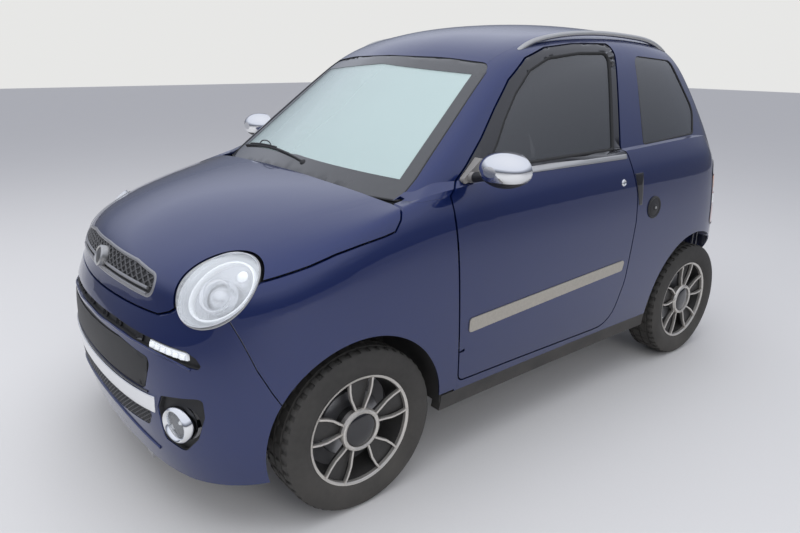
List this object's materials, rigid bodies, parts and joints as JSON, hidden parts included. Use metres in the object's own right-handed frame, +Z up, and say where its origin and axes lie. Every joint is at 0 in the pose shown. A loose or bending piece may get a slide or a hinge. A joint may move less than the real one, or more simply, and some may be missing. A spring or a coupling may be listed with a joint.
{
  "type": "microcar",
  "caption": "Two-seat, three-door microcar with a front engine, steered front wheels, opening doors, hood and tailgate.",
  "frame": {"origin": "on the ground, at the centre of the car's length and width", "axes": "+Z up, -Y forwards, +X to the car's own left"},
  "size_m": [1.8462, 2.95, 1.5552],
  "materials": {
    "body_paint": "gloss",
    "glass": "polished",
    "lamp_clear": "polished",
    "lamp_white": "gloss",
    "lamp_red": "gloss",
    "black_trim": "matte",
    "silver_trim": "satin",
    "aluminium": "satin",
    "cast_metal": "matte",
    "steel": "satin",
    "seat_cloth": "matte",
    "tyre_rubber": "matte",
    "wheel_alloy": "satin"
  },
  "bodies": {
    "body": {"floor_pan": "aluminium", "chassis_frame": "aluminium", "engine_block": "cast_metal", "front_suspension": "steel", "rear_axle": "steel", "front_bumper": "body_paint", "bumper_grille": "black_trim", "headlamps": "lamp_clear", "fog_lamps": "lamp_clear", "day_lamps": "lamp_white", "fenders": "body_paint", "body_side_left": "body_paint", "body_side_right": "body_paint", "roof_panel": "body_paint", "windscreen": "glass", "cowl_panel": "black_trim", "quarter_glass": "glass", "rear_bumper": "body_paint", "tail_lamps": "lamp_red", "sills": "black_trim", "roof_rails": "silver_trim", "wheel_liners": "black_trim", "dashboard": "black_trim", "seats": "seat_cloth"},
    "hood": {"hood": "body_paint", "hood_grille": "black_trim"},
    "tailgate": {"tailgate": "body_paint", "tailgate_glass": "glass"},
    "steering_wheel": {"steering_wheel": "black_trim"},
    "knuckle_left": {"knuckle_left": "cast_metal"},
    "knuckle_right": {"knuckle_right": "cast_metal"},
    "door_left": {"door_left": "body_paint", "door_glass_left": "glass", "door_mirror_left": "silver_trim", "door_strip_left": "silver_trim"},
    "door_right": {"door_right": "body_paint", "door_glass_right": "glass", "door_mirror_right": "silver_trim", "door_strip_right": "silver_trim"},
    "wheel_front_left": {"tyre_front_left": "tyre_rubber", "rim_front_left": "wheel_alloy"},
    "wheel_front_right": {"tyre_front_right": "tyre_rubber", "rim_front_right": "wheel_alloy"},
    "wheel_rear_left": {"tyre_rear_left": "tyre_rubber", "rim_rear_left": "wheel_alloy"},
    "wheel_rear_right": {"tyre_rear_right": "tyre_rubber", "rim_rear_right": "wheel_alloy"}
  },
  "joints": [
    {"name": "steer_left", "type": "hinge", "parent": "body", "child": "knuckle_left", "pos_m": [0.6, -0.878, 0.278], "axis": [0, 0, 1], "range_deg": [-30, 30]},
    {"name": "steer_right", "type": "hinge", "parent": "body", "child": "knuckle_right", "pos_m": [-0.6, -0.878, 0.278], "axis": [0, 0, 1], "range_deg": [-30, 30]},
    {"name": "steering_wheel_turn", "type": "hinge", "parent": "body", "child": "steering_wheel", "pos_m": [0.3, -0.188, 0.85], "axis": [0, 0.8829, 0.4695], "range_deg": [-420, 420]},
    {"name": "door_left_hinge", "type": "hinge", "parent": "body", "child": "door_left", "pos_m": [0.734, -0.463, 0.6], "axis": [0, 0, -1], "range_deg": [0, 62]},
    {"name": "door_right_hinge", "type": "hinge", "parent": "body", "child": "door_right", "pos_m": [-0.734, -0.463, 0.6], "axis": [0, 0, 1], "range_deg": [0, 62]},
    {"name": "hood_hinge", "type": "hinge", "parent": "body", "child": "hood", "pos_m": [0, -0.66, 0.96442], "axis": [-1, 0, 0], "range_deg": [0, 50]},
    {"name": "tailgate_hinge", "type": "hinge", "parent": "body", "child": "tailgate", "pos_m": [0, 1.047, 1.48722], "axis": [1, 0, 0], "range_deg": [0, 75]},
    {"name": "wheel_front_left_spin", "type": "hinge", "parent": "knuckle_left", "child": "wheel_front_left", "pos_m": [0.6575, -0.878, 0.278], "axis": [1, 0, 0], "continuous": true},
    {"name": "wheel_front_right_spin", "type": "hinge", "parent": "knuckle_right", "child": "wheel_front_right", "pos_m": [-0.6575, -0.878, 0.278], "axis": [1, 0, 0], "continuous": true},
    {"name": "wheel_rear_left_spin", "type": "hinge", "parent": "body", "child": "wheel_rear_left", "pos_m": [0.6575, 1.058, 0.278], "axis": [1, 0, 0], "continuous": true},
    {"name": "wheel_rear_right_spin", "type": "hinge", "parent": "body", "child": "wheel_rear_right", "pos_m": [-0.6575, 1.058, 0.278], "axis": [1, 0, 0], "continuous": true}
  ],
  "couplings": [
    {"joint": "steer_right", "follows": "steer_left", "ratio": 1},
    {"joint": "steering_wheel_turn", "follows": "steer_left", "ratio": 14}
  ]
}
